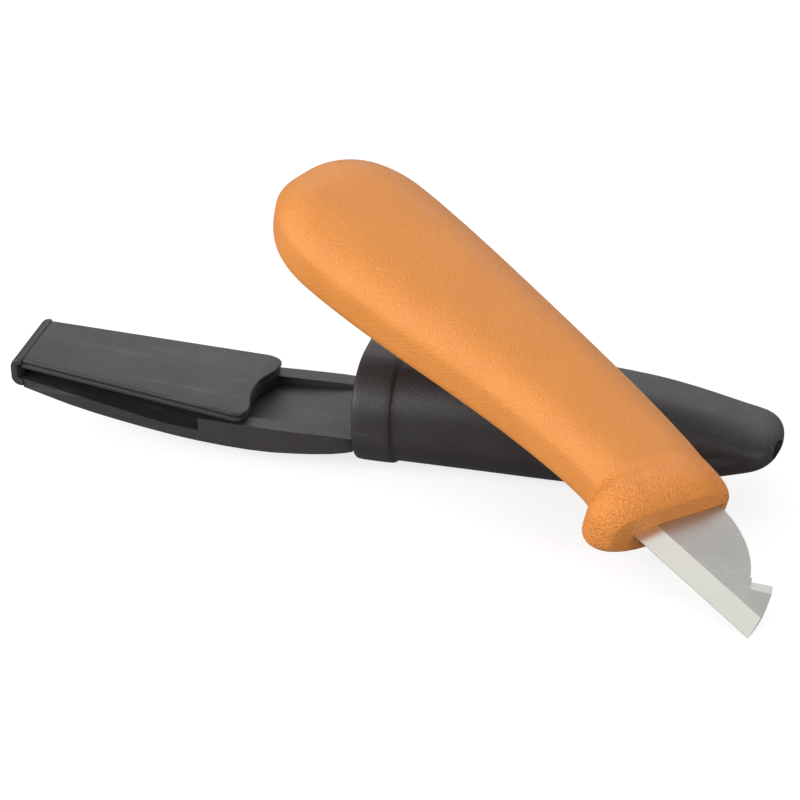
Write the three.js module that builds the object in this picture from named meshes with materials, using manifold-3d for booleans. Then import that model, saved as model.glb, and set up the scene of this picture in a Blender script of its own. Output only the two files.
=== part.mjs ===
// A short fixed-blade cable knife lying across its belt sheath. Millimetres, +Z up.
// The sheath lies on its front with the belt clip upwards. The knife leans on it: the tip of the
// blade is on the table and the handle crosses the sheath. The model is built with x = 0 just
// outside the sheath's mouth and z = 0 at the table, and is centred on its own box at the end.
import * as THREE from "three";
import { mergeVertices } from "three/addons/utils/BufferGeometryUtils.js";
import Module from "manifold-3d";

const wasm = await Module();
wasm.setup();

// ---- Driving dimensions -------------------------------------------------------------------

const GAP = 0.3; // clearance between pieces that touch on the real object

// Blade: one stamped steel piece. In the knife's frame x runs to the tip, y from the cutting
// edge to the back, z through the thickness, and the edge leaves the guard at x = 0, y = 0.
const STEEL = 2.0;
const BLADE_LENGTH = 32.0;
const BLADE_WIDTH = 20.6;
const BEVEL = 5.3; // width of the flat grind on both sides of the edge
const GRIND_START_X = -3; // the grind runs just inside the guard
const EDGE_LAND = 0.16; // thickness left at the very edge
const HOOK = [26.2, 14.7]; // point of the hook
const NOTCH = [22.2, 11.4]; // bottom of the notch behind it
const NOTCH_BEVEL = 3.2; // width of the grind inside the hook
const NOTCH_GRIND_LENGTH = 6.4;
const NOTCH_GRIND_TURN = -55;
const TANG_LENGTH = 72;
const TANG_WIDTH = 12;
const TANG_MID_Y = 10.5;
const TANG_TAPER = 1.5;
const SHOULDER_X = -8; // the blade's full width ends here, inside the guard
const TANG_HOLE_X = [-30, -56];
const TANG_HOLE_R = 3;

// Handle: rows of [x, lowest y, highest y, half thickness], the ends rounded by HANDLE_BUTT_X.
const HANDLE_ROWS = [
  [-119.6, -4.7, 24.6, 9.0],
  [-111, -6.3, 27.2, 9.8],
  [-102, -6.9, 29.0, 10.0],
  [-90, -6.4, 29.5, 10.0],
  [-75, -4.7, 29.3, 9.9],
  [-58, -2.2, 28.6, 9.7],
  [-41, -0.2, 27.7, 9.3],
  [-26, 0.7, 26.7, 8.8],
  [-13.2, 0.7, 25.2, 8.6],
  [-9.4, -1.0, 24.5, 8.7],
  [-7.6, -3.7, 24.2, 9.4],
  [-5.6, -5.9, 23.9, 9.8],
  [-2.8, -6.9, 23.6, 9.5],
  [0, -6.1, 23.1, 8.3],
  [1.5, -4.9, 22.4, 7.1],
  [1.8, -4.1, 21.9, 6.3],
];
const HANDLE_POWER = 3.0; // 2 is an ellipse, more is squarer
const BUTT_X = -119.6; // far end of the handle
const BUTT_ROUND = 22.5; // length over which the outline closes
const GUARD_SLANT = 0.33; // the guard's planes lean forward by this much per mm towards the back
const SKIN = 3.2; // thickness of the moulded grip over the core
const CORE_RIB_PITCH = 16;
const CORE_RIB_DEPTH = 0.7;

// Sheath: rows of [x, half width, half height, height of the lowest point].
const SHEATH_ROWS = [
  [1, 16.3, 12.6, 2.3],
  [13, 16.0, 12.8, 1.9],
  [30, 15.2, 13.1, 1.2],
  [50, 14.1, 12.8, 0.4],
  [58, 13.6, 12.3, 0.4],
  [68, 12.9, 11.2, 1.7],
  [80, 11.9, 8.3, 4.8],
  [90, 11.1, 5.3, 7.9],
  [97, 10.9, 3.3, 10.3],
];
const SHEATH_POWER = 2.6;
const MOUTH_X = 1;
const SHEATH_TIP_X = 97;
const SHEATH_TIP_ROUND = 6.5;
const SHEATH_WALL = 1.7;
const COLLAR_LENGTH = 9.4;
const COLLAR_PROUD = 1.1;
const POCKET_END = 91;
const DRAIN_R = 1.8; // half height
const DRAIN_STRETCH = 1.8; // times as wide as high
const DRAIN_Y = -4; // off the middle, on the blade edge's side

// Hanger: a side profile of [x, z] points along its underside and along its top.
const HANGER_UNDER = [
  [-79.5, 12.5], [-66, 9.2], [-50, 6.7], [-36, 5.3],
  [-20, 4.9], [-6, 5.9], [2, 6.9], [13, 7.2],
];
const LEAF_TOP = [[-79.5, 14.7], [-60, 11.3], [-44, 8.6], [-36, 8.1]];
const RAIL_TOP = [[-36, 11.2], [-14, 10.9], [-4, 10.7], [2, 9.9], [13, 9.7]];
const HANGER_PLAN = [
  [-79.5, 10.4], [-60, 12.0], [-26, 14.8], [-12, 15.2],
  [-2, 14.8], [2, 13.8], [13, 12.8],
];
const TROUGH_HALF = 10.6;
const TROUGH_DEEP_Z = 7.8;
const TROUGH_START_X = -40;
const TROUGH_RUNOUT_X = 0;

// Belt clip: the outer leaf and the thin bend that springs it from the hanger's end.
const PLATE_START = [-79.5, 19.7];
const PLATE_END = [-24.4, 13.83];
const PLATE_THICK = 2.3;
const PLATE_HALF = [10.4, 15.2];
const PLATE_CORNER = 3.2;
const FINGER_NOTCH = 1.5;
const FAR_CORNER = 1.2; // how much further the far side of the notch reaches
const LIP_DROP = 2.3;
const LIP_LENGTH = 3.4;
const BEND_OUT_X = -82.3;
const BEND_THICK = 1.7;
const BEND_HALF = 10.9;
const BEND_Z = [12.9, 20.1];
const BEND_CORNER = 2.4;

// Where the knife lies: the guard's edge-side origin, and its turn.
const KNIFE_PLACE = [73.0, -48.7, 12.8];
const KNIFE_HEADING = -28.7;
const KNIFE_TILT = -22.6;
const KNIFE_ROLL = 10.9;

const ORANGE = 0xdd8038;
const AMBER = 0xc06a2a;
const BLACK = 0x2c2a2b;
const STEEL_GREY = 0xb9b5ae;

// ---- Geometry helpers ---------------------------------------------------------------------

// Smooth values between the rows of a table whose first column is x.
function along(rows, x) {
  const last = rows.length - 1;
  let i = 0;
  while (i < last - 1 && x > rows[i + 1][0]) i += 1;
  const [a, b] = [rows[i], rows[i + 1]];
  const before = rows[Math.max(i - 1, 0)];
  const after = rows[Math.min(i + 2, last)];
  const t = THREE.MathUtils.clamp((x - a[0]) / (b[0] - a[0]), 0, 1);
  const step = b[0] - a[0];
  return a.slice(1).map((value, k) => {
    const c = k + 1;
    const inSlope = ((b[c] - before[c]) / (b[0] - before[0])) * step;
    const outSlope = ((after[c] - a[c]) / (after[0] - a[0])) * step;
    const t2 = t * t;
    const t3 = t2 * t;
    return value * (2 * t3 - 3 * t2 + 1) + inSlope * (t3 - 2 * t2 + t)
      + b[c] * (3 * t2 - 2 * t3) + outSlope * (t3 - t2);
  });
}

// A rounded solid along X: a cylinder whose rows are moved onto sections. A section gives
// { x, y, z, halfY, halfZ, power, slant }.
function loft(stations, section, ring) {
  const rows = stations.length - 1;
  const geometry = new THREE.CylinderGeometry(1, 1, 1, ring, rows);
  const position = geometry.attributes.position;
  const bent = (value, power) => Math.sign(value) * Math.abs(value) ** (2 / power);
  for (let i = 0; i < position.count; i += 1) {
    const row = Math.round((position.getY(i) + 0.5) * rows);
    const s = section(stations[row]);
    const y = s.y + s.halfY * bent(position.getZ(i), s.power);
    const z = s.z + s.halfZ * bent(position.getX(i), s.power);
    position.setXYZ(i, s.x + (s.slant ?? 0) * (y - TANG_MID_Y), y, z);
  }
  return geometry;
}

// The part of a full width left at distance d from a closing end that starts r before it.
const closing = (d, r, power) => (d >= r ? 1 : Math.max(1 - (1 - d / r) ** power, 0.002) ** (1 / power));

function toSolid(geometry) {
  const bare = geometry.clone();
  bare.deleteAttribute("normal");
  bare.deleteAttribute("uv");
  const merged = mergeVertices(bare, 1e-4);
  const vertProperties = new Float32Array(merged.attributes.position.array);
  const triVerts = new Uint32Array(merged.index.array);
  return new wasm.Manifold(new wasm.Mesh({ numProp: 3, vertProperties, triVerts }));
}

function toGeometry(solid) {
  const mesh = solid.getMesh();
  const geometry = new THREE.BufferGeometry();
  geometry.setAttribute("position", new THREE.BufferAttribute(mesh.vertProperties, 3));
  geometry.setIndex(new THREE.BufferAttribute(mesh.triVerts, 1));
  geometry.computeVertexNormals();
  return geometry;
}

const PLAIN = { bevelEnabled: false, curveSegments: 8 };

// A plan outline drawn in x and y, given thickness from z = low to high.
function slab(shape, low, high) {
  const geometry = new THREE.ExtrudeGeometry(shape, { ...PLAIN, depth: high - low });
  geometry.translate(0, 0, low);
  return toSolid(geometry);
}

// A side profile drawn in x and z, given width from y = low to high.
function sideSlab(shape, low, high) {
  const geometry = new THREE.ExtrudeGeometry(shape, { ...PLAIN, depth: high - low });
  geometry.rotateX(Math.PI / 2);
  geometry.translate(0, high, 0);
  return toSolid(geometry);
}

function polygon(points) {
  return new THREE.Shape(points.map(([x, y]) => new THREE.Vector2(x, y)));
}

function box(x0, x1, y0, y1, z0, z1) {
  const geometry = new THREE.BoxGeometry(x1 - x0, y1 - y0, z1 - z0);
  geometry.translate((x0 + x1) / 2, (y0 + y1) / 2, (z0 + z1) / 2);
  return toSolid(geometry);
}

// Samples of a table's one value at even steps, ends included.
function trace(rows, steps) {
  const first = rows[0][0];
  const span = rows[rows.length - 1][0] - first;
  return Array.from({ length: steps + 1 }, (_, i) => {
    const x = first + (span * i) / steps;
    return [x, along(rows, x)[0]];
  });
}

// ---- Blade --------------------------------------------------------------------------------

// Outline of the whole steel: straight edge, curved end, hook, rounded back, and the tang.
function bladeShape() {
  const shape = new THREE.Shape();
  const tangLow = TANG_MID_Y - TANG_WIDTH / 2;
  const tangHigh = TANG_MID_Y + TANG_WIDTH / 2;
  shape.moveTo(SHOULDER_X, 0);
  shape.lineTo(BLADE_LENGTH, 0);
  shape.quadraticCurveTo(BLADE_LENGTH - 1.4, 6.6, HOOK[0] + 1.8, HOOK[1] - 3.1);
  shape.lineTo(...HOOK);
  shape.lineTo(NOTCH[0] + 0.6, NOTCH[1] + 0.8);
  shape.quadraticCurveTo(NOTCH[0] - 0.2, NOTCH[1] + 0.2, NOTCH[0] + 0.1, NOTCH[1] - 0.4);
  shape.bezierCurveTo(20.5, 13.9, 15.4, 19.0, 6.6, BLADE_WIDTH - 0.6);
  shape.lineTo(2.4, BLADE_WIDTH);
  shape.lineTo(SHOULDER_X, BLADE_WIDTH - 0.5);
  shape.lineTo(SHOULDER_X, tangHigh);
  shape.lineTo(-TANG_LENGTH, tangHigh - TANG_TAPER);
  shape.lineTo(-TANG_LENGTH, tangLow + TANG_TAPER);
  shape.lineTo(SHOULDER_X, tangLow);
  shape.closePath();
  return shape;
}

// The hollow that the steel sits in: its shoulders and tang, each with the gap all round.
function steelPocket() {
  const high = STEEL / 2 + GAP;
  const half = TANG_WIDTH / 2 + GAP;
  const wide = box(SHOULDER_X - GAP, BLADE_LENGTH, -GAP, BLADE_WIDTH + GAP, -high, high);
  const narrow = box(-TANG_LENGTH - GAP, 0, TANG_MID_Y - half, TANG_MID_Y + half, -high, high);
  return wide.add(narrow);
}

// A wedge that takes one side off the steel: nothing at the grind line, most at the edge.
// side is 1 for the upper face and -1 for the lower.
function grindWedge(from, to, side) {
  const half = side * (STEEL / 2);
  const land = side * (EDGE_LAND / 2);
  const over = 2; // past the edge, and above the steel's face
  const foot = land - ((half - land) / BEVEL) * over;
  const high = half + side * over;
  const section = polygon([[BEVEL, half], [-over, foot], [-over, high], [BEVEL, high]]);
  const geometry = new THREE.ExtrudeGeometry(section, { ...PLAIN, depth: to - from });
  geometry.rotateX(Math.PI / 2);
  geometry.rotateZ(Math.PI / 2);
  geometry.translate(from, 0, 0);
  return toSolid(geometry);
}

function makeBlade() {
  const half = STEEL / 2;
  let steel = slab(bladeShape(), -half, half);
  for (const side of [1, -1]) {
    steel = steel.subtract(grindWedge(GRIND_START_X, BLADE_LENGTH + 3, side));
  }
  steel = steel.subtract(notchGrind());
  for (const x of TANG_HOLE_X) steel = steel.subtract(pin(x, TANG_HOLE_R, 4));
  return toGeometry(steel);
}

// The one-sided grind along the inside of the hook, which makes its short cutting edge.
function notchGrind() {
  const half = STEEL / 2;
  const foot = -half + EDGE_LAND;
  const over = half + 1; // above the steel's face
  const section = polygon([[NOTCH_BEVEL, half], [0, foot], [-2, foot], [-2, over], [NOTCH_BEVEL, over]]);
  const wedge = new THREE.ExtrudeGeometry(section, { ...PLAIN, depth: NOTCH_GRIND_LENGTH });
  wedge.rotateX(Math.PI / 2);
  wedge.translate(0, NOTCH_GRIND_LENGTH - 1, 0);
  wedge.rotateZ(THREE.MathUtils.degToRad(NOTCH_GRIND_TURN));
  wedge.translate(NOTCH[0] + 0.9, NOTCH[1] + 0.9, 0);
  return toSolid(wedge);
}

function pin(x, radius, halfLength) {
  const geometry = new THREE.CylinderGeometry(radius, radius, 2 * halfLength, 20);
  geometry.rotateX(Math.PI / 2);
  geometry.translate(x, TANG_MID_Y, 0);
  return toSolid(geometry);
}

// ---- Handle -------------------------------------------------------------------------------

// The handle's section at x, shrunk by inset. The guard's planes slant, the butt's don't.
function handleSection(x, inset) {
  const [low, high, thick] = along(HANDLE_ROWS, x);
  const end = x - BUTT_X - inset;
  const wide = closing(end, BUTT_ROUND, 2.5);
  const deep = closing(end, BUTT_ROUND * 0.55, 2.0);
  return {
    x,
    y: (low + high) / 2,
    z: 0,
    halfY: ((high - low) / 2 - inset) * wide,
    halfZ: (thick - inset) * deep,
    power: HANDLE_POWER,
    slant: GUARD_SLANT * THREE.MathUtils.smoothstep(x, -70, -10),
  };
}

function handleStations() {
  const butt = [0, 0.4, 1.3, 2.7, 4.6, 7, 10, 14, 18.5].map((d) => BUTT_X + d);
  const grip = Array.from({ length: 9 }, (_, i) => -97 + i * 10);
  const guard = [-13, -10.6, -9.4, -8.4, -7.6, -6.4, -4.5, -2.2, -0.4, 0.7, 1.3, 1.6, 1.8];
  return [...butt, ...grip, ...guard];
}

function coreStations(grow) {
  const count = 28;
  const from = BUTT_X + SKIN + 3 - grow;
  const to = -9 + grow;
  return Array.from({ length: count + 1 }, (_, i) => from + ((to - from) * i) / count);
}

// The core fills the grip's hollow. Its ribs stand up to the hollow's wall, less the gap.
function coreSection(x, ribbed) {
  const s = handleSection(Math.max(x, BUTT_X + SKIN + 3.2), SKIN);
  const turn = ((x - BUTT_X) * 2 * Math.PI) / CORE_RIB_PITCH;
  const wave = ribbed ? CORE_RIB_DEPTH * (0.5 - 0.5 * Math.cos(turn)) : 0;
  const gap = ribbed ? GAP : 0;
  return { ...s, x, halfY: s.halfY - gap - wave, halfZ: s.halfZ - gap - wave };
}

function makeGrip() {
  const outer = toSolid(loft(handleStations(), (x) => handleSection(x, 0), 36));
  const hollow = toSolid(loft(coreStations(GAP), (x) => coreSection(x, false), 20));
  return toGeometry(outer.subtract(hollow).subtract(steelPocket()));
}

function makeCore() {
  const body = toSolid(loft(coreStations(0), (x) => coreSection(x, true), 20));
  let pocket = steelPocket();
  for (const x of TANG_HOLE_X) pocket = pocket.subtract(pin(x, TANG_HOLE_R - GAP, 4));
  return toGeometry(body.subtract(pocket));
}

// ---- Sheath -------------------------------------------------------------------------------

function sheathSection(x, inset, proud) {
  const [halfWidth, halfHeight, floor] = along(SHEATH_ROWS, x);
  const close = closing(SHEATH_TIP_X - x, SHEATH_TIP_ROUND, 2.3);
  return {
    x,
    y: 0,
    z: floor + halfHeight,
    halfY: (halfWidth - inset + proud) * close,
    halfZ: (halfHeight - inset + proud * 0.5) * close,
    power: SHEATH_POWER,
  };
}

function makeSheath() {
  const rims = [0, 0.35, 1.2, COLLAR_LENGTH - 1.2, COLLAR_LENGTH - 0.35, COLLAR_LENGTH];
  const band = rims.map((distance) => MOUTH_X + distance);
  const proud = [COLLAR_PROUD - 0.9, COLLAR_PROUD - 0.3, COLLAR_PROUD, COLLAR_PROUD, COLLAR_PROUD - 0.4, 0];
  const back = [10, 7.5, 5, 3.2, 1.9, 1, 0.4, 0.1, 0].map((d) => SHEATH_TIP_X - d);
  const skin = [MOUTH_X + COLLAR_LENGTH + 0.2, 20, 30, 40, 50, 60, 70, 80, ...back];
  const section = (x) => sheathSection(x, 0, proud[band.indexOf(x)] ?? 0);
  const outer = toSolid(loft([...band, ...skin], section, 36));
  const depth = [MOUTH_X - 1, MOUTH_X, 12, 22, 34, 46, 58, 68, 77, 85, POCKET_END];
  const hollow = toSolid(loft(depth, (x) => sheathSection(Math.max(x, MOUTH_X), SHEATH_WALL, 0), 28));
  return toGeometry(outer.subtract(hollow).subtract(drainHole()));
}

// An oval hole through the tip, so that water and dirt run out of the pocket.
function drainHole() {
  const geometry = new THREE.CylinderGeometry(DRAIN_R, DRAIN_R, 14, 16);
  geometry.scale(DRAIN_STRETCH, 1, 1);
  geometry.rotateZ(Math.PI / 2);
  const [, halfHeight, floor] = along(SHEATH_ROWS, 95);
  geometry.translate(94, DRAIN_Y, floor + halfHeight);
  return toSolid(geometry);
}

// ---- Hanger and belt clip -----------------------------------------------------------------

function makeHanger() {
  const under = trace(HANGER_UNDER, 18);
  const leaf = trace(LEAF_TOP, 8);
  const rail = trace(RAIL_TOP, 10);
  const side = sideSlab(polygon([...under, ...rail.reverse(), ...leaf.reverse()]), -20, 20);
  const edge = trace(HANGER_PLAN, 18);
  const plan = slab(polygon([...edge.map(([x, y]) => [x, -y]), ...edge.reverse()]), -1, 30);
  const floor = [[TROUGH_START_X, TROUGH_DEEP_Z], [TROUGH_RUNOUT_X, along(RAIL_TOP, TROUGH_RUNOUT_X)[0]]];
  const wedge = polygon([...floor, [TROUGH_RUNOUT_X, 30], [TROUGH_START_X, 30]]);
  const trough = sideSlab(wedge, -TROUGH_HALF, TROUGH_HALF);
  const whole = side.intersect(plan).subtract(trough);
  const mouth = box(MOUTH_X - GAP, 40, -20, 20, 0, 30);
  const socket = toSolid(loft([-4, MOUTH_X, 8, 14, 20], (x) => sheathSection(x, SHEATH_WALL + GAP, 0), 28));
  return toGeometry(whole.subtract(mouth).add(whole.intersect(socket)));
}

// The outer leaf seen from above, with the finger notch in its free end.
function platePlan() {
  const [startX] = PLATE_START;
  const [endX] = PLATE_END;
  const [narrow, wide] = PLATE_HALF;
  const notchX = endX - FINGER_NOTCH;
  const farX = endX + FAR_CORNER;
  const shape = new THREE.Shape();
  shape.moveTo(startX, -narrow);
  shape.lineTo(endX - PLATE_CORNER, -wide + 0.2);
  shape.quadraticCurveTo(endX, -wide, endX, -wide + PLATE_CORNER);
  shape.bezierCurveTo(endX, -wide * 0.45, notchX, -wide * 0.6, notchX, -1);
  shape.bezierCurveTo(notchX, wide * 0.4, farX, wide * 0.35, farX, wide - PLATE_CORNER);
  shape.quadraticCurveTo(farX, wide, endX - PLATE_CORNER, wide - 0.2);
  shape.lineTo(startX, narrow);
  shape.closePath();
  return shape;
}

function makePlate() {
  const [startX, startZ] = PLATE_START;
  const [endX, endZ] = PLATE_END;
  const nose = endX + 2; // past the outline, which trims it
  const slope = (endZ - startZ) / (endX - startX);
  const top = (x) => startZ + slope * (x - startX);
  const profile = polygon([
    [startX, startZ - PLATE_THICK],
    [nose, top(nose) - PLATE_THICK],
    [nose, top(nose)],
    [startX, startZ],
  ]);
  const sheet = sideSlab(profile, -20, 20).intersect(slab(platePlan(), -1, 30));
  const lip = polygon([
    [endX - FINGER_NOTCH - LIP_LENGTH, top(endX) - 1],
    [endX - FINGER_NOTCH - LIP_LENGTH + 1.4, top(endX) - PLATE_THICK - LIP_DROP],
    [nose, top(endX) - PLATE_THICK - LIP_DROP],
    [nose, top(nose) - 0.5],
  ]);
  const reach = TROUGH_HALF - 1.2;
  const hook = sideSlab(lip, -reach, reach).intersect(slab(platePlan(), -1, 30));
  return toGeometry(sheet.add(hook));
}

// A thin strip folded like a square bracket, seen from the side.
function makeBend() {
  const [low, high] = BEND_Z;
  const openX = PLATE_START[0] - GAP;
  const bracket = (inset, mouthX) => {
    const x = BEND_OUT_X + inset;
    const r = BEND_CORNER - inset;
    const shape = new THREE.Shape();
    shape.moveTo(mouthX, low + inset);
    shape.lineTo(mouthX, high - inset);
    shape.lineTo(x + r, high - inset);
    shape.absarc(x + r, high - inset - r, r, Math.PI / 2, Math.PI, false);
    shape.absarc(x + r, low + inset + r, r, Math.PI, 1.5 * Math.PI, false);
    shape.closePath();
    return shape;
  };
  const outer = sideSlab(bracket(0, openX), -BEND_HALF, BEND_HALF);
  const inner = sideSlab(bracket(BEND_THICK, openX + 1), -BEND_HALF - 1, BEND_HALF + 1);
  return toGeometry(outer.subtract(inner));
}

// ---- Assembly -----------------------------------------------------------------------------

function part(name, geometry, color, roughness, metalness) {
  const mesh = new THREE.Mesh(geometry, new THREE.MeshStandardMaterial({ color, roughness, metalness }));
  mesh.name = name;
  return mesh;
}

function makeKnife() {
  const knife = new THREE.Group();
  knife.add(part("blade", makeBlade(), STEEL_GREY, 0.35, 1));
  knife.add(part("handle_core", makeCore(), AMBER, 0.6, 0));
  knife.add(part("handle_grip", makeGrip(), ORANGE, 0.55, 0));
  knife.position.set(...KNIFE_PLACE);
  const [roll, pitch, heading] = [KNIFE_ROLL, -KNIFE_TILT, KNIFE_HEADING].map(THREE.MathUtils.degToRad);
  knife.rotation.set(roll, pitch, heading, "ZYX");
  return knife;
}

function makeSheathGroup() {
  const sheath = new THREE.Group();
  sheath.add(part("sheath_body", makeSheath(), BLACK, 0.6, 0));
  sheath.add(part("hanger", makeHanger(), BLACK, 0.6, 0));
  sheath.add(part("clip_bend", makeBend(), BLACK, 0.6, 0));
  sheath.add(part("clip_plate", makePlate(), BLACK, 0.6, 0));
  return sheath;
}

const model = new THREE.Group();
model.add(makeSheathGroup());
model.add(makeKnife());
model.updateMatrixWorld(true);
const bounds = new THREE.Box3().setFromObject(model, true);
const middle = bounds.getCenter(new THREE.Vector3());
model.position.set(-middle.x, -middle.y, -bounds.min.z);

export default model;
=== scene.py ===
# %% [markdown]
# # A cable knife and its belt sheath
#
# This notebook takes the imported model of a short orange-handled knife that lies across its black
# belt sheath, and gives it its finished look. The imported model is loaded first and never moved.
# Every new piece is built where the model says, in metres, and all but the clip's bend ride on one
# of its bodies.

from math import asin, cos, pi, radians, sin

import bmesh
import bpy
from mathutils import Euler, Matrix, Vector


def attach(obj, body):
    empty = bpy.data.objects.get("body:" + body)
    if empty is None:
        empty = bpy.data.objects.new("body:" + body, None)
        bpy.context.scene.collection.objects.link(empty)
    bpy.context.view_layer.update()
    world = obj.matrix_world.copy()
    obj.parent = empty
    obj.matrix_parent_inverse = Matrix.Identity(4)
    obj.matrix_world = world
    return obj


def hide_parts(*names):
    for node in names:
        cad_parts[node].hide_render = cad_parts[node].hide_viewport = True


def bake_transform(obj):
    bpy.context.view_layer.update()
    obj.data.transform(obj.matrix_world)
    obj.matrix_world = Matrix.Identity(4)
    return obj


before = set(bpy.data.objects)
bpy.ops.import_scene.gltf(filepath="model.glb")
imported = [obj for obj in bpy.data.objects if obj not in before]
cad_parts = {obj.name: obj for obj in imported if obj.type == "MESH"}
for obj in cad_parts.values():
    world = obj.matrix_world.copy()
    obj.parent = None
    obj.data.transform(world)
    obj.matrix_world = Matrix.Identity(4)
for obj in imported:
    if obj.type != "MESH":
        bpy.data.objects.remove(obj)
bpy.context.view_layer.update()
MM = 0.001
print("nodes:", sorted(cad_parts))

# %% [markdown]
# The sizes below are in millimetres, in two handy frames. The sheath's frame has x = 0 just outside
# the sheath's mouth and z = 0 on the table. The knife's frame has x towards the tip, y from the
# cutting edge to the back and z up out of the blade's face. Two matrices carry pieces from there
# to the model's own place.

# %% The two working frames
SHEATH_PLACE = Matrix.Translation((-9.917, 20.262, -0.4))
KNIFE_TURN = Euler((radians(10.9), radians(22.6), radians(-28.7)), "XYZ").to_matrix().to_4x4()
KNIFE_PLACE = SHEATH_PLACE @ Matrix.Translation((73.0, -48.7, 12.8)) @ KNIFE_TURN
print("guard of the knife at", [round(v, 1) for v in KNIFE_PLACE.translation], "mm")

# %% [markdown]
# The camera comes before the pieces, because it decides how much detail each one needs. It looks
# down from the front, a little to the right, through a long lens, so that the knife and sheath
# keep their true proportions with hardly any perspective.

# %% Camera
def look_from(azimuth, elevation, distance, target, roll):
    """A matrix that stands the camera off the target and points it there."""
    az, el = radians(azimuth), radians(elevation)
    back = Vector((sin(az) * cos(el), -cos(az) * cos(el), sin(el)))
    right = Vector((cos(az), sin(az), 0))
    up = back.cross(right)
    r = radians(roll)
    right, up = cos(r) * right + sin(r) * up, -sin(r) * right + cos(r) * up
    place = Matrix((right, up, back)).transposed().to_4x4()
    place.translation = Vector(target) + distance * back
    return place


camera_data = bpy.data.cameras.new("camera")
camera_data.lens = 145.1
camera_data.sensor_width = 36
camera_data.clip_end = 20
camera = bpy.data.objects.new("camera", camera_data)
bpy.context.scene.collection.objects.link(camera)
camera.matrix_world = look_from(14.3, 28.0, 0.750, (-0.0032, 0.0272, 0.0096), -0.8)
bpy.context.scene.camera = camera
print("camera stands at", [round(v, 3) for v in camera.matrix_world.translation])

# %% [markdown]
# The light is that of a plain product table. One broad soft panel is overhead, one is low at the
# back, where black plastic mirrors it as a grey sheen, and one on each side of the camera fills
# the handle's flank and its guard. The floor glows a little where the camera sees it, so that it
# stays pale and its shadows faint, but it throws no extra light on the dark sides of the sheath.

# %% Floor, surround and soft lights
def soft_light(name, place, aim, size, power):
    """A soft rectangle of light at a place, turned towards its aim."""
    data = bpy.data.lights.new(name, "AREA")
    data.shape = "RECTANGLE"
    data.size, data.size_y = size
    data.energy = power
    light = bpy.data.objects.new(name, data)
    bpy.context.scene.collection.objects.link(light)
    light.location = place
    light.rotation_euler = (Vector(aim) - Vector(place)).to_track_quat("-Z", "Y").to_euler()
    return light


soft_light("overhead", (0.05, 0.25, 0.95), (0, 0, 0), (1.1, 0.9), 2.2)
soft_light("back", (0.0, 1.10, 0.62), (0, 0, 0), (1.6, 0.6), 6.2)
soft_light("left_front", (-0.75, -0.72, 0.44), (0, 0, 0.02), (0.8, 0.6), 14.0)
soft_light("right_front", (0.80, -0.72, 0.42), (0, 0, 0.02), (0.7, 0.6), 5.8)
surround = bpy.data.worlds.new("surround")
surround.use_nodes = True
surround.node_tree.nodes["Background"].inputs["Color"].default_value = (1, 1, 1, 1)
surround.node_tree.nodes["Background"].inputs["Strength"].default_value = 0.26
bpy.context.scene.world = surround
bpy.context.scene.view_settings.view_transform = "Standard"

FLOOR_GLOW = 0.74
FLOOR_DROP = 0.0002
bpy.ops.object.select_all(action="DESELECT")
bpy.ops.mesh.primitive_plane_add(size=8, location=(0, 0, -FLOOR_DROP))
floor = bpy.context.object
floor.name = "floor"
floor_paint = bpy.data.materials.new("pale_floor")
floor_paint.use_nodes = True
floor_shader = floor_paint.node_tree.nodes["Principled BSDF"]
floor_shader.inputs["Base Color"].default_value = (0.36, 0.36, 0.36, 1)
floor_shader.inputs["Roughness"].default_value = 0.9
floor_shader.inputs["Emission Color"].default_value = (1, 1, 1, 1)
light_path = floor_paint.node_tree.nodes.new("ShaderNodeLightPath")
glow = floor_paint.node_tree.nodes.new("ShaderNodeMath")
glow.operation = "MULTIPLY"
glow.inputs[1].default_value = FLOOR_GLOW
floor_paint.node_tree.links.new(light_path.outputs["Is Camera Ray"], glow.inputs[0])
floor_paint.node_tree.links.new(glow.outputs[0], floor_shader.inputs["Emission Strength"])
floor.data.materials.append(floor_paint)

# %% [markdown]
# ## Small tools
#
# Handles and sheaths are drawn by their makers as sections along a line. A short table of rows
# gives each section's width and height, and a smooth curve through the rows gives any section
# between them.

# %% Smooth values between the rows of a table
def between(rows, x):
    """The values at x on a smooth curve through the rows, each of which starts with its own x."""
    last = len(rows) - 1
    i = 0
    while i < last - 1 and x > rows[i + 1][0]:
        i += 1
    a, b = rows[i], rows[i + 1]
    before, after = rows[max(i - 1, 0)], rows[min(i + 2, last)]
    step = b[0] - a[0]
    t = min(max((x - a[0]) / step, 0), 1)
    values = []
    for c in range(1, len(a)):
        into = (b[c] - before[c]) / (b[0] - before[0]) * step
        out = (after[c] - a[c]) / (after[0] - a[0]) * step
        blend = t * t * (3 - 2 * t)
        values.append(
            a[c] * (1 - blend) + b[c] * blend + into * t * (1 - t) ** 2 - out * t * t * (1 - t)
        )
    return values


def closing(distance, reach, power):
    """How much of the full width is left near a rounded end."""
    if distance >= reach:
        return 1.0
    return max(1 - (1 - distance / reach) ** power, 0.002) ** (1 / power)


print("half way along a slope from 0 to 10:", between([[0, 0], [1, 10]], 0.5))

# %% [markdown]
# A rounded bar is the start of most pieces. A cube is added, its four long edges are bevelled
# round, and its end face is extruded from ring to ring. Each ring is then picked in turn and
# resized and moved onto its own section. That is slower than a curve with a bevel object, but it
# gives clean rings exactly where a step or a rounded end needs them.

# %% Pick points, and grow a rounded bar
def clear_picks():
    """Leaves edit mode and selects nothing."""
    if bpy.context.object and bpy.context.object.mode != "OBJECT":
        bpy.ops.object.mode_set(mode="OBJECT")
    bpy.ops.object.select_all(action="DESELECT")


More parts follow.
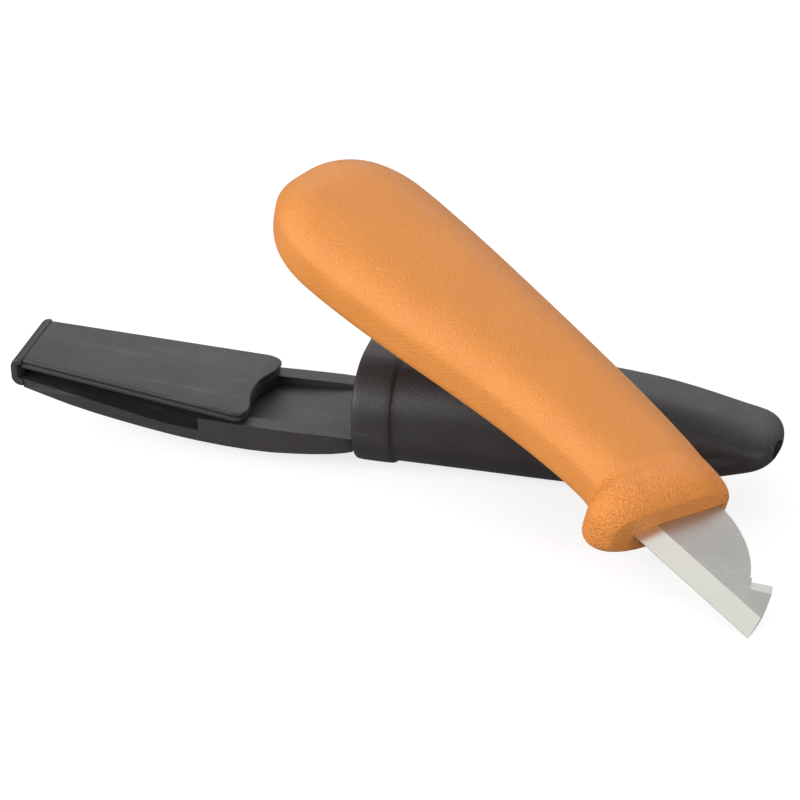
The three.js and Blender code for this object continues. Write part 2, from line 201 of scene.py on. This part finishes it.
def pick(piece, test):
    """Selects in edit mode the points that pass a test of their number and place."""
    bpy.ops.mesh.select_mode(type="VERT")
    bpy.ops.mesh.select_all(action="DESELECT")
    points = bmesh.from_edit_mesh(piece.data)
    points.verts.ensure_lookup_table()
    for v in points.verts:
        if test(v.index, v.co):
            v.select_set(True)
    points.select_flush(True)
    bmesh.update_edit_mesh(piece.data)


def grow_bar(name, stations, corner, turns):
    """A straight bar 2 mm square with rounded long edges and a ring at each station."""
    clear_picks()
    first, second = stations[0], stations[1]
    bpy.ops.mesh.primitive_cube_add(size=2, location=(0, 0, 0))
    bar = bpy.context.object
    bar.name = name
    bpy.ops.object.mode_set(mode="EDIT")
    if corner:
        edges = bmesh.from_edit_mesh(bar.data)
        for e in edges.edges:
            along_x = abs(e.verts[0].co.x - e.verts[1].co.x) > 1
            e.select_set(along_x)
        bmesh.update_edit_mesh(bar.data)
        bpy.ops.mesh.bevel(offset=corner, segments=turns, profile=0.5, affect="EDGES")
    bpy.ops.mesh.select_all(action="SELECT")
    bpy.ops.transform.resize(value=((second - first) / 2, 1, 1), center_override=(0, 0, 0))
    bpy.ops.transform.translate(value=((first + second) / 2, 0, 0))
    pick(bar, lambda i, co: abs(co.x - second) < 1e-4)
    for here, there in zip(stations[1:], stations[2:]):
        bpy.ops.mesh.extrude_region_move(TRANSFORM_OT_translate={"value": (there - here, 0, 0)})
    bpy.ops.object.mode_set(mode="OBJECT")
    return bar


SLANT_MIDDLE = 10.5


def shape_rings(bar, stations, section):
    """Resizes, moves and slants each ring. section gives y, z, half y, half z and a slant."""
    rings = [
        {v.index for v in bar.data.vertices if abs(v.co.x - x) < 1e-3} for x in stations
    ]
    bpy.ops.object.mode_set(mode="EDIT")
    for x, ring in zip(stations, rings):
        y, z, half_y, half_z, slant = section(x)
        pick(bar, lambda i, co: i in ring)
        bpy.ops.transform.resize(value=(1, half_y, half_z), center_override=(x, 0, 0))
        if slant:
            turn = asin(slant)
            bpy.ops.transform.rotate(
                value=turn, orient_axis="Z", orient_type="GLOBAL", center_override=(x, 0, 0)
            )
            bpy.ops.transform.resize(value=(1, 1 / cos(turn), 1), center_override=(x, 0, 0))
        bpy.ops.transform.translate(value=(slant * (y - SLANT_MIDDLE), y, z))
    bpy.ops.object.mode_set(mode="OBJECT")
    return bar


print("bar tools are ready; a slanted ring turns about y =", SLANT_MIDDLE)

# %% [markdown]
# Flat pieces such as a clip's leaf start from their outline. A plane is merged to one point, the
# point is extruded round the outline like a pen, the loop is filled, and the face is extruded to
# its thickness. Cuts can leave slivers with almost no area, so a finished piece is turned into
# triangles and its points closer than a few thousandths of a millimetre are joined.

# %% Draw an outline, thicken it, and finish a piece
def drawn_slab(name, outline, thickness, upright=False):
    """A slab from an outline: flat on z = 0 and up, or upright across y = 0."""
    clear_picks()
    bpy.ops.mesh.primitive_plane_add(size=1, location=(0, 0, 0))
    slab = bpy.context.object
    slab.name = name

    def spot(p):
        return Vector((p[0], -thickness / 2, p[1])) if upright else Vector((p[0], p[1], 0))

    bpy.ops.object.mode_set(mode="EDIT")
    bpy.ops.mesh.merge(type="CENTER")
    bpy.ops.transform.translate(value=spot(outline[0]))
    for here, there in zip(outline, outline[1:]):
        bpy.ops.mesh.extrude_region_move(
            TRANSFORM_OT_translate={"value": spot(there) - spot(here)}
        )
    bpy.ops.mesh.select_all(action="SELECT")
    bpy.ops.mesh.edge_face_add()
    step = (0, thickness, 0) if upright else (0, 0, thickness)
    bpy.ops.mesh.extrude_region_move(TRANSFORM_OT_translate={"value": step})
    bpy.ops.mesh.select_all(action="SELECT")
    bpy.ops.mesh.normals_make_consistent(inside=False)
    bpy.ops.object.mode_set(mode="OBJECT")
    return slab


def add_modifier(piece, kind, **settings):
    """Adds a modifier with these settings and applies it."""
    clear_picks()
    bpy.context.view_layer.objects.active = piece
    piece.select_set(True)
    modifier = piece.modifiers.new(kind.lower(), kind)
    for key, value in settings.items():
        setattr(modifier, key, value)
    bpy.ops.object.modifier_apply(modifier=modifier.name)


def cut(piece, tool, operation="DIFFERENCE"):
    """Cuts a tool's shape out of a piece, or joins it on, and throws the tool away."""
    add_modifier(piece, "BOOLEAN", object=tool, operation=operation, solver="EXACT")
    bpy.data.objects.remove(tool)


def smoother(piece, levels):
    """Subdivides a piece into a smooth surface."""
    add_modifier(piece, "SUBSURF", levels=levels, render_levels=levels)


def soften(piece, width, segments=3, angle=35):
    """Rounds the edges that are sharper than an angle in degrees."""
    add_modifier(
        piece, "BEVEL", width=width, segments=segments, limit_method="ANGLE",
        angle_limit=radians(angle), harden_normals=False,
    )


CLOSE_POINTS = 0.006


def finish_piece(piece, place, body, slot_name, *nodes, angle=32):
    """Clears slivers, puts the piece in its place in metres and hands it to its body."""
    add_modifier(piece, "TRIANGULATE")
    add_modifier(piece, "WELD", merge_threshold=CLOSE_POINTS)
    piece.data.transform(Matrix.Scale(MM, 4) @ place)
    piece.select_set(True)
    bpy.context.view_layer.objects.active = piece
    bpy.ops.object.shade_smooth_by_angle(angle=radians(angle))
    if nodes:
        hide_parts(*nodes)
    if body:
        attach(piece, body)
    print(piece.name, "has", len(piece.data.polygons), "faces")


print("slab and finishing tools are ready")

# %% [markdown]
# ## The handle
#
# The handle is a soft-cornered bar, widest at the butt, with a low waist and a raised guard band
# at the blade. Its faces are broad and nearly flat. It is moulded in one piece, so it is grown
# as one bar with close rings at the butt's curve and at the band's crisp edges.

# %% Handle sizes
HANDLE_ROWS = [
    [-119.6, -4.7, 24.6, 9.0], [-111, -6.3, 27.2, 9.8], [-102, -6.9, 29.0, 10.0],
    [-90, -6.4, 29.5, 10.0], [-75, -4.7, 29.3, 9.9], [-58, -2.2, 28.6, 9.7],
    [-41, -0.2, 27.7, 9.3], [-26, 0.7, 26.7, 8.8], [-13.2, 0.7, 25.2, 8.6],
    [-9.4, -1.0, 24.5, 8.7], [-7.6, -3.7, 24.2, 9.4], [-5.6, -5.9, 23.9, 9.8],
    [-2.8, -6.9, 23.6, 9.7], [-0.9, -6.5, 23.4, 9.2], [0, -6.1, 23.1, 8.4], [1.5, -4.9, 22.4, 6.9],
    [1.8, -4.1, 21.9, 6.3],
]
BUTT, BUTT_ROUND, GUARD_SLANT = -119.6, 22.5, 0.33
SLANT_STARTS, SLANT_RUN = -70, 60


def handle_section(x):
    """Middle, half width, half depth and slant of the handle at x."""
    low, high, thick = between(HANDLE_ROWS, x)
    wide = closing(x - BUTT, BUTT_ROUND, 2.5)
    deep = closing(x - BUTT, BUTT_ROUND * 0.55, 2.0)
    t = min(max((x - SLANT_STARTS) / SLANT_RUN, 0), 1)
    slant = GUARD_SLANT * t * t * (3 - 2 * t)
    return (low + high) / 2, 0, (high - low) / 2 * wide, thick * deep, slant


print("the butt is", round(2 * handle_section(-95)[2], 1), "mm wide")

# %% Grow the handle
butt_rings = [BUTT + d for d in (0, 0.4, 1.3, 2.7, 4.6, 7, 10, 14, 18.5)]
grip_rings = [-97 + 7 * i for i in range(12)]
guard_rings = [-13, -10.6, -9.4, -8.4, -7.6, -6.4, -4.5, -2.2, -0.4, 0.7, 1.3, 1.6, 1.8]
handle_rings = butt_rings + grip_rings + guard_rings
handle = grow_bar("handle", handle_rings, 0.70, 8)
shape_rings(handle, handle_rings, handle_section)
smoother(handle, 2)
print("the handle has", len(handle_rings), "rings")

# %% [markdown]
# The outer moulding is a skin a little over 3 mm thick round a hard core, and the blade comes out
# of a slot in the guard's front face. The room for the core is a smaller bar cut from the
# first. The slot is drawn as the end view of the ground steel, so that plastic meets it tightly.

# %% Room for the core, and the blade's slot
SKIN = 3.2
core_rings = [-113.7, -111, -107, -100, -85, -70, -55, -40, -25, -14, -8.7]


def core_section(x):
    """The handle's own section, smaller by the skin."""
    y, z, half_y, half_z, slant = handle_section(max(x, BUTT + SKIN + 3.2))
    return y, z, half_y - SKIN, half_z - SKIN, slant


core_room = grow_bar("core_room", core_rings, 0.70, 6)
shape_rings(core_room, core_rings, core_section)
cut(handle, core_room)
clear_picks()
bpy.ops.mesh.primitive_cube_add(size=2)
shoulder_room = bpy.context.object
shoulder_room.data.transform(
    Matrix.Translation((-5.8, 10.3, 0)) @ Matrix.Diagonal((2.6, 10.6, 1.3, 1))
)
cut(handle, shoulder_room)
steel_end = [(-0.06, 0), (5.3, -1.03), (20.68, -1.03), (20.68, 1.03), (5.3, 1.03)]
mouth_slot = drawn_slab("mouth_slot", steel_end, 14)
mouth_slot.data.transform(
    Matrix(((0, 0, 1, -5), (1, 0, 0, 0), (0, 1, 0, 0), (0, 0, 0, 1)))
)
cut(handle, mouth_slot)
finish_piece(handle, KNIFE_PLACE, "knife", "grip_plastic", "handle_grip")

# %% [markdown]
# ## The sheath
#
# The sheath is one deep black moulding with an oval section, a raised collar at its mouth and a
# rounded tip with a drain hole. The outside and the pocket are two bars; the second is cut out of
# the first, as a moulding core would form it.

# %% Sheath sizes
SHEATH_ROWS = [
    [1, 16.3, 12.6, 2.3], [13, 16.0, 12.8, 1.9], [30, 15.2, 13.1, 1.2], [50, 14.1, 12.8, 0.4],
    [58, 13.6, 12.3, 0.4], [68, 12.9, 11.2, 1.7], [80, 11.9, 8.3, 4.8], [90, 11.1, 5.3, 7.9],
    [97, 10.9, 3.3, 10.3],
]
MOUTH, TIP, TIP_ROUND, WALL = 1, 97, 6.5, 1.7


def sheath_section(x, inset=0.0, proud=0.0):
    """The sheath's section at x, moved in by inset for the pocket or out for the collar."""
    half_y, half_z, low = between(SHEATH_ROWS, x)
    close = closing(TIP - x, TIP_ROUND, 2.3)
    wide = (half_y - inset + proud) * close
    deep = (half_z - inset + proud / 2) * close
    return 0, low + half_z, wide, deep, 0


COLLAR_PROUD = 1.1
collar_rings = {
    0: 0.2, 0.35: 0.8, 1.2: COLLAR_PROUD, 4.5: COLLAR_PROUD, 8.2: COLLAR_PROUD,
    8.9: 0.9, 9.3: 0.25, 9.5: 0.0,
}
print("the collar is", round(2 * sheath_section(4, proud=COLLAR_PROUD)[2], 1), "mm wide")

# %% Grow the sheath and hollow it
collar_x = {MOUTH + d: proud for d, proud in collar_rings.items()}
tip_x = [TIP - d for d in (10, 7.5, 5, 3.2, 1.9, 1, 0.4, 0.1, 0)]
outer_rings = list(collar_x) + [12, 18, 26, 34, 42, 50, 58, 66, 74, 80] + tip_x
sheath = grow_bar("sheath", outer_rings, 0.80, 8)
shape_rings(sheath, outer_rings, lambda x: sheath_section(x, proud=collar_x.get(x, 0)))
smoother(sheath, 2)

pocket_rings = [0, 1, 12, 22, 34, 46, 58, 68, 77, 85, 91]
pocket = grow_bar("pocket", pocket_rings, 0.80, 8)
shape_rings(pocket, pocket_rings, lambda x: sheath_section(max(x, MOUTH), inset=WALL))
cut(sheath, pocket)
print("the pocket is", pocket_rings[-1] - MOUTH, "mm deep")

# %% Drain hole through the tip
DRAIN_RADIUS, DRAIN_STRETCH, DRAIN_OFF_MIDDLE = 1.8, 1.8, -4
clear_picks()
bpy.ops.mesh.primitive_cylinder_add(vertices=40, radius=DRAIN_RADIUS, depth=14)
drain = bpy.context.object
drain.data.transform(
    Matrix.Translation((94, DRAIN_OFF_MIDDLE, 13.5))
    @ Matrix.Scale(DRAIN_STRETCH, 4, (0, 1, 0))
    @ Matrix.Rotation(pi / 2, 4, "Y")
)
cut(sheath, drain)
finish_piece(sheath, SHEATH_PLACE, "sheath", "sheath_plastic", "sheath_body")

# %% [markdown]
# ## The hanger
#
# The hanger is the flat tongue that leaves the sheath's mouth. It is a thin leaf under the belt,
# then a step up to two side rails with a sloping trough between them. It is drawn as its side
# view, trimmed by its plan, and the trough is cut with a wedge.

# %% Hanger sizes
UNDERSIDE = [
    [-79.5, 12.5], [-66, 9.2], [-50, 6.7], [-36, 5.3],
    [-20, 4.9], [-6, 5.9], [2, 6.9], [13, 7.2],
]
LEAF_TOP = [[-79.5, 14.7], [-60, 11.3], [-44, 8.6], [-36, 8.1]]
RAIL_TOP = [[-36, 11.2], [-14, 10.9], [-4, 10.7], [2, 9.9], [13, 9.7]]
PLAN = [
    [-79.5, 10.4], [-60, 12.0], [-26, 14.8], [-12, 15.2],
    [-2, 14.8], [2, 13.8], [13, 12.8],
]
STEP, TROUGH_WIDTH = -36, 21.2


def hanger_part(name, stations):
    """The part of the hanger along these stations: its side view, trimmed by its plan."""
    under = [(x, between(UNDERSIDE, x)[0]) for x in stations]
    rails = [(x, between(RAIL_TOP, x)[0]) for x in stations if x >= STEP]
    leaf = [(x, between(LEAF_TOP, x)[0]) for x in stations if x <= STEP]
    body = drawn_slab(name, under + rails[::-1] + leaf[::-1], 40, upright=True)
    half = [(x, between(PLAN, x)[0]) for x in stations]
    plan = drawn_slab("plan", [(x, -y) for x, y in half] + half[::-1], 40)
    cut(body, plan, "INTERSECT")
    return body


print("the slot side of the step is", STEP - LEAF_TOP[0][0], "mm long")

# %% Build the hanger
leaf_x = [-79.5, -74, -68, -62, -56, -50, -44, -40, STEP]
rail_x = [-30, -24, -18, -12, -8, -4, -1, 0.7]
hanger = hanger_part("hanger_arm", leaf_x + rail_x)
tongue = hanger_part("tongue", [0.2, 2, 5, 8, 13])
socket_x = [-1, MOUTH, 8, 14, 20]
socket = grow_bar("socket", socket_x, 0.80, 8)
shape_rings(socket, socket_x, lambda x: sheath_section(max(x, MOUTH), inset=WALL + 0.3))
cut(tongue, socket, "INTERSECT")
runout = between(RAIL_TOP, 0)[0]
trough_side = [(STEP, LEAF_TOP[-1][1]), (0, runout), (0, 30), (STEP, 30)]
trough = drawn_slab("trough", trough_side, TROUGH_WIDTH, upright=True)
cut(hanger, trough)
cut(hanger, tongue, "UNION")
soften(hanger, 0.4)
finish_piece(hanger, SHEATH_PLACE, "hanger", "sheath_plastic", "hanger")

# %% [markdown]
# ## The belt clip
#
# The clip's outer leaf is a flat tapered plate with a shallow finger notch in its free end and a
# lip below it that keeps the belt in. Its outline is a few straight runs and curves, sampled as
# short steps. A fine groove runs round its edge, so the leaf is three slabs, the middle one a
# little smaller.

# %% Curves for the outline
def curve(a, b, c, d, steps):
    """Points on the curve from a to d that leaves towards b and arrives from c, without a."""
    a, b, c, d = (Vector(p) for p in (a, b, c, d))
    points = []
    for i in range(1, steps + 1):
        t = i / steps
        s = 1 - t
        points.append(tuple(a * s**3 + b * 3 * s * s * t + c * 3 * s * t * t + d * t**3))
    return points


LEAF_LENGTH, LEAF_THICK, NARROW, WIDE = 55.4, 2.3, 10.4, 15.2


def leaf_outline():
    """The leaf's outline from its fixed end round the notched free end and back."""
    end, notch, far = LEAF_LENGTH, LEAF_LENGTH - 1.5, LEAF_LENGTH + 1.2
    points = [(0, -NARROW), (end - 3.2, -WIDE + 0.2)]
    points += curve(points[-1], (end - 1, -WIDE), (end, -WIDE + 1), (end, -WIDE + 3.2), 5)
    points += curve(points[-1], (end, -6.8), (notch, -9.1), (notch, -1), 9)
    points += curve(points[-1], (notch, 6.1), (far, 5.3), (far, WIDE - 3.2), 9)
    points += curve(points[-1], (far, WIDE - 1), (end - 1, WIDE), (end - 3.2, WIDE - 0.2), 5)
    return points + [(0, NARROW)]


print("the leaf's outline has", len(leaf_outline()), "points")

# %% Build the clip's leaf
leaf = drawn_slab("clip_leaf", leaf_outline(), 0.95)
leaf.data.transform(Matrix.Translation((0, 0, -0.95)))
soften(leaf, 0.4, 4)
neck = drawn_slab("neck", leaf_outline(), 0.9)
neck.data.transform(Matrix.Translation((0.3, 0, -1.6)) @ Matrix.Diagonal((0.985, 0.965, 1, 1)))
lower = drawn_slab("lower", leaf_outline(), 1.05)
lower.data.transform(
    Matrix.Translation((0, 0, -LEAF_THICK)) @ Matrix.Diagonal((0.998, 0.995, 1, 1))
)
soften(lower, 0.2, 3)
lip_side = [(50.5, -1.4), (51.9, -4.55), (58, -4.55), (58, -1.4)]
lip = drawn_slab("lip", lip_side, 18.8, upright=True)
lip_plan = drawn_slab("lip_plan", leaf_outline(), 12)
lip_plan.data.transform(Matrix.Translation((0, 0, -8)))
cut(lip, lip_plan, "INTERSECT")
soften(lip, 0.4, 3)
for layer in (neck, lower, lip):
    cut(leaf, layer, "UNION")
leaf_place = Matrix.Translation((-79.5, 0, 19.7)) @ Matrix.Rotation(radians(6.08), 4, "Y")
finish_piece(leaf, SHEATH_PLACE @ leaf_place, "clip", "sheath_plastic", "clip_plate")

# %% [markdown]
# The two leaves are joined by a thin bend, like a square bracket seen from the side. It is the
# clip's spring. It is given to no body and stays where it is built.

# %% Build the bend
def corner_arc(x, z, radius, start):
    """A quarter turn of points round (x, z), from an angle in quarter turns."""
    angles = [(start + i / 8) * pi / 2 for i in range(9)]
    return [(x + radius * cos(a), z + radius * sin(a)) for a in angles]


def bracket(inset, mouth):
    """The bend's side view, moved in by inset and open towards x = mouth."""
    low, high, back = 12.9 + inset, 19.95 - inset, -82.3 + inset
    r = 2.4 - inset
    upper = corner_arc(back + r, high - r, r, 1)
    lower = corner_arc(back + r, low + r, r, 2)
    return [(mouth, high)] + upper + lower[1:] + [(mouth, low)]


bend = drawn_slab("clip_bend_strip", bracket(0, -79.3), 21.8, upright=True)
cut(bend, drawn_slab("inside", bracket(1.7, -78), 30, upright=True))
soften(bend, 0.45, 4)
finish_piece(bend, SHEATH_PLACE, None, "sheath_plastic", "clip_bend")
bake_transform(bend)

# %% [markdown]
# ## Finishes
#
# All the plastics have a fine moulded grain, and the plastics and the steel both carry light
# rubbing. Those two effects are made once as node groups and placed in each material with its
# own values. A group gives only numbers; each material mixes them into its own shader.

# %% A helper for node groups
def new_group(name, inputs, outputs):
    group = bpy.data.node_groups.new(name, "ShaderNodeTree")
    for label, value in inputs:
        socket = group.interface.new_socket(label, in_out="INPUT", socket_type="NodeSocketFloat")
        socket.default_value = value
    for label in outputs:
        group.interface.new_socket(label, in_out="OUTPUT", socket_type="NodeSocketFloat")
    return group, group.nodes.new("NodeGroupInput"), group.nodes.new("NodeGroupOutput")


def math_node(nodes, links, operation, a, b):
    node = nodes.new("ShaderNodeMath")
    node.operation = operation
    for i, value in enumerate((a, b)):
        if isinstance(value, (int, float)):
            node.inputs[i].default_value = value
        else:
            links.new(value, node.inputs[i])
    return node.outputs[0]


def map_range(nodes, links, value, low, high, to_low, to_high):
    node = nodes.new("ShaderNodeMapRange")
    links.new(value, node.inputs["Value"])
    limits = {"From Min": low, "From Max": high, "To Min": to_low, "To Max": to_high}
    for label, number in limits.items():
        node.inputs[label].default_value = number
    return node.outputs["Result"]


print("group tools are ready")

# %% Moulded grain
grain_group, grain_in, grain_out = new_group(
    "moulded_grain", [("Size", 2000.0), ("Coarse", 0.5)], ["Height", "Mottle"]
)
nodes, links = grain_group.nodes, grain_group.links
where = nodes.new("ShaderNodeTexCoord")
pebbles = nodes.new("ShaderNodeTexVoronoi")
pebbles.feature = "SMOOTH_F1"
fine = nodes.new("ShaderNodeTexNoise")
fine.inputs["Detail"].default_value = 4
cloudy = nodes.new("ShaderNodeTexNoise")
cloudy.inputs["Scale"].default_value = 90
cloudy.inputs["Detail"].default_value = 3
for texture in (pebbles, fine, cloudy):
    links.new(where.outputs["Object"], texture.inputs["Vector"])
links.new(grain_in.outputs["Size"], pebbles.inputs["Scale"])
size, coarse = grain_in.outputs["Size"], grain_in.outputs["Coarse"]
links.new(math_node(nodes, links, "MULTIPLY", size, 1.7), fine.inputs["Scale"])
bumps = math_node(nodes, links, "MULTIPLY", pebbles.outputs["Distance"], coarse)
height = math_node(nodes, links, "ADD", bumps, fine.outputs["Fac"])
links.new(height, grain_out.inputs["Height"])
links.new(cloudy.outputs["Fac"], grain_out.inputs["Mottle"])
print("made", grain_group.name)

# %% Fine rubbing and hairlines
rub_group, rub_in, rub_out = new_group(
    "fine_rubbing", [("Size", 300.0), ("Amount", 0.5)], ["Mask"]
)
nodes, links = rub_group.nodes, rub_group.links
where = nodes.new("ShaderNodeTexCoord")
stretch = nodes.new("ShaderNodeMapping")
stretch.inputs["Scale"].default_value = (0.12, 1.0, 1.0)
stretch.inputs["Rotation"].default_value = (0.2, 0.1, 0.5)
links.new(where.outputs["Object"], stretch.inputs["Vector"])
hairs = nodes.new("ShaderNodeTexNoise")
hairs.inputs["Detail"].default_value = 6
hairs.inputs["Roughness"].default_value = 0.7
links.new(stretch.outputs["Vector"], hairs.inputs["Vector"])
links.new(rub_in.outputs["Size"], hairs.inputs["Scale"])
sharp = map_range(nodes, links, hairs.outputs["Fac"], 0.56, 0.68, 0, 1)
mask = math_node(nodes, links, "MULTIPLY", sharp, rub_in.outputs["Amount"])
links.new(mask, rub_out.inputs["Mask"])
print("made", rub_group.name)

# %% [markdown]
# A mask along a direction tells the guard band from the rest of the handle, and the blade's ground
# bevel from its flat. It is the distance of a point along that direction from a chosen start,
# turned into a number from 0 to 1.

# %% Masks and a helper for materials
def new_material(name, roughness, metallic=0.0):
    material = bpy.data.materials.new(name)
    material.use_nodes = True
    shader = material.node_tree.nodes["Principled BSDF"]
    shader.inputs["Roughness"].default_value = roughness
    shader.inputs["Metallic"].default_value = metallic
    return material, material.node_tree.nodes, material.node_tree.links, shader


def placed(nodes, group, **values):
    """A node group placed in a material with its own values."""
    node = nodes.new("ShaderNodeGroup")
    node.node_tree = group
    for label, value in values.items():
        node.inputs[label].default_value = value
    return node


def knife_mask(nodes, links, axis, start, end):
    """0 before start and 1 after end, both in mm along one of the knife's own axes."""
    direction = KNIFE_PLACE.to_3x3() @ Vector(axis)
    origin = KNIFE_PLACE.translation.dot(direction)
    where = nodes.new("ShaderNodeTexCoord")
    dot = nodes.new("ShaderNodeVectorMath")
    dot.operation = "DOT_PRODUCT"
    dot.inputs[1].default_value = direction
    links.new(where.outputs["Object"], dot.inputs[0])
    low, high = (origin + start) * MM, (origin + end) * MM
    return map_range(nodes, links, dot.outputs["Value"], low, high, 0, 1)


def mixed(nodes, links, factor, a, b):
    """A colour between two colours, each a tuple or another node's colour."""
    mix = nodes.new("ShaderNodeMix")
    mix.data_type = "RGBA"
    links.new(factor, mix.inputs["Factor"])
    for label, value in (("A", a), ("B", b)):
        socket = [s for s in mix.inputs if s.name == label and s.type == "RGBA"][0]
        if isinstance(value, tuple):
            socket.default_value = (*value, 1)
        else:
            links.new(value, socket)
    return [s for s in mix.outputs if s.type == "RGBA"][0]


def bumped(nodes, links, shader, height, strength, distance):
    """Leads a height into the shader's normal; distance is in metres."""
    bump = nodes.new("ShaderNodeBump")
    bump.inputs["Distance"].default_value = distance
    if isinstance(strength, float):
        bump.inputs["Strength"].default_value = strength
    else:
        links.new(strength, bump.inputs["Strength"])
    links.new(height, bump.inputs["Height"])
    links.new(bump.outputs["Normal"], shader.inputs["Normal"])


def paint(thing, material):
    if not thing.material_slots:
        thing.data.materials.append(material)
    for slot in thing.material_slots:
        slot.material = material
    print(thing.name, "is finished in", material.name)


print("material tools are ready")

# %% [markdown]
# The handle's plastic is a warm orange-tan. Its grain is fine on the faces and coarser on the guard
# band, where the thumb rests, and the band is a little deeper in colour. Painted shade darkens and
# reddens the pits between the pebbles, so the grain shows even in flat light.

# %% Orange handle plastic
orange, nodes, links, shader = new_material("orange_moulded_plastic", 0.45)
grain = placed(nodes, grain_group, Size=2100.0, Coarse=0.9)
guard = knife_mask(nodes, links, (1, -GUARD_SLANT, 0), -15.5, -13.0)
face = mixed(nodes, links, grain.outputs["Mottle"], (0.65, 0.228, 0.038), (0.73, 0.268, 0.050))
toned = mixed(nodes, links, guard, face, (0.82, 0.280, 0.047))
# Painted shade: the low points of the grain, its pits, are darkened towards a deep red-brown.
painted_pit_shade = map_range(nodes, links, grain.outputs["Height"], 0.40, 0.62, 0.22, 0.0)
colour = mixed(nodes, links, painted_pit_shade, toned, (0.52, 0.145, 0.018))
links.new(colour, shader.inputs["Base Color"])
depth = map_range(nodes, links, guard, 0, 1, 0.55, 1.0)
bumped(nodes, links, shader, grain.outputs["Height"], depth, 0.00045)
sheen = map_range(nodes, links, grain.outputs["Mottle"], 0.3, 0.7, 0.42, 0.50)
links.new(sheen, shader.inputs["Roughness"])
paint(handle, orange)

# %% Plastic of the hidden core
amber, nodes, links, shader = new_material("amber_core_plastic", 0.6)
grain = placed(nodes, grain_group, Size=900.0, Coarse=0.3)
colour = mixed(nodes, links, grain.outputs["Mottle"], (0.42, 0.14, 0.03), (0.50, 0.18, 0.04))
links.new(colour, shader.inputs["Base Color"])
bumped(nodes, links, shader, grain.outputs["Height"], 0.2, 0.0002)
paint(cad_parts["handle_core"], amber)

# %% [markdown]
# The sheath, hanger and clip are black polypropylene. It is not quite black: broad light turns its
# fine spark grain to a soft grey. Fine rubbing lightens it where it is handled.

# %% Black sheath plastic
black, nodes, links, shader = new_material("black_moulded_plastic", 0.48)
grain = placed(nodes, grain_group, Size=2600.0, Coarse=0.6)
rubs = placed(nodes, rub_group, Size=260.0, Amount=0.35)
low_tone, high_tone = (0.0155, 0.0125, 0.0132), (0.0245, 0.0200, 0.0212)
rubbed = (0.085, 0.078, 0.078)
plain = mixed(nodes, links, grain.outputs["Mottle"], low_tone, high_tone)
colour = mixed(nodes, links, rubs.outputs["Mask"], plain, rubbed)
links.new(colour, shader.inputs["Base Color"])
bumped(nodes, links, shader, grain.outputs["Height"], 0.45, 0.0002)
sheen = map_range(nodes, links, grain.outputs["Mottle"], 0.3, 0.7, 0.44, 0.54)
links.new(sheen, shader.inputs["Roughness"])
for piece in (sheath, hanger, leaf, bend):
    paint(piece, black)

# %% [markdown]
# The blade is plain strip steel. Its flat keeps the rolling mill's satin, slightly mottled skin,
# and the bevel along the edge is freshly ground, so it is smoother and brighter.

# %% Satin steel with a ground bevel
steel, nodes, links, shader = new_material("strip_steel", 0.35, 1.0)
grain = placed(nodes, grain_group, Size=1900.0, Coarse=0.2)
rubs = placed(nodes, rub_group, Size=900.0, Amount=0.5)
flat = knife_mask(nodes, links, (0, 1, 0), 5.2, 5.4)
skin = mixed(nodes, links, grain.outputs["Mottle"], (0.42, 0.410, 0.388), (0.60, 0.588, 0.560))
worn = mixed(nodes, links, rubs.outputs["Mask"], skin, (0.70, 0.69, 0.66))
colour = mixed(nodes, links, flat, (0.78, 0.77, 0.70), worn)
links.new(colour, shader.inputs["Base Color"])
links.new(map_range(nodes, links, flat, 0, 1, 0.24, 0.40), shader.inputs["Roughness"])
depth = map_range(nodes, links, flat, 0, 1, 0.03, 0.18)
bumped(nodes, links, shader, grain.outputs["Height"], depth, 0.0001)
paint(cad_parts["blade"], steel)

# %% [markdown]
# Last, edit mode is left and nothing stays selected.

clear_picks()
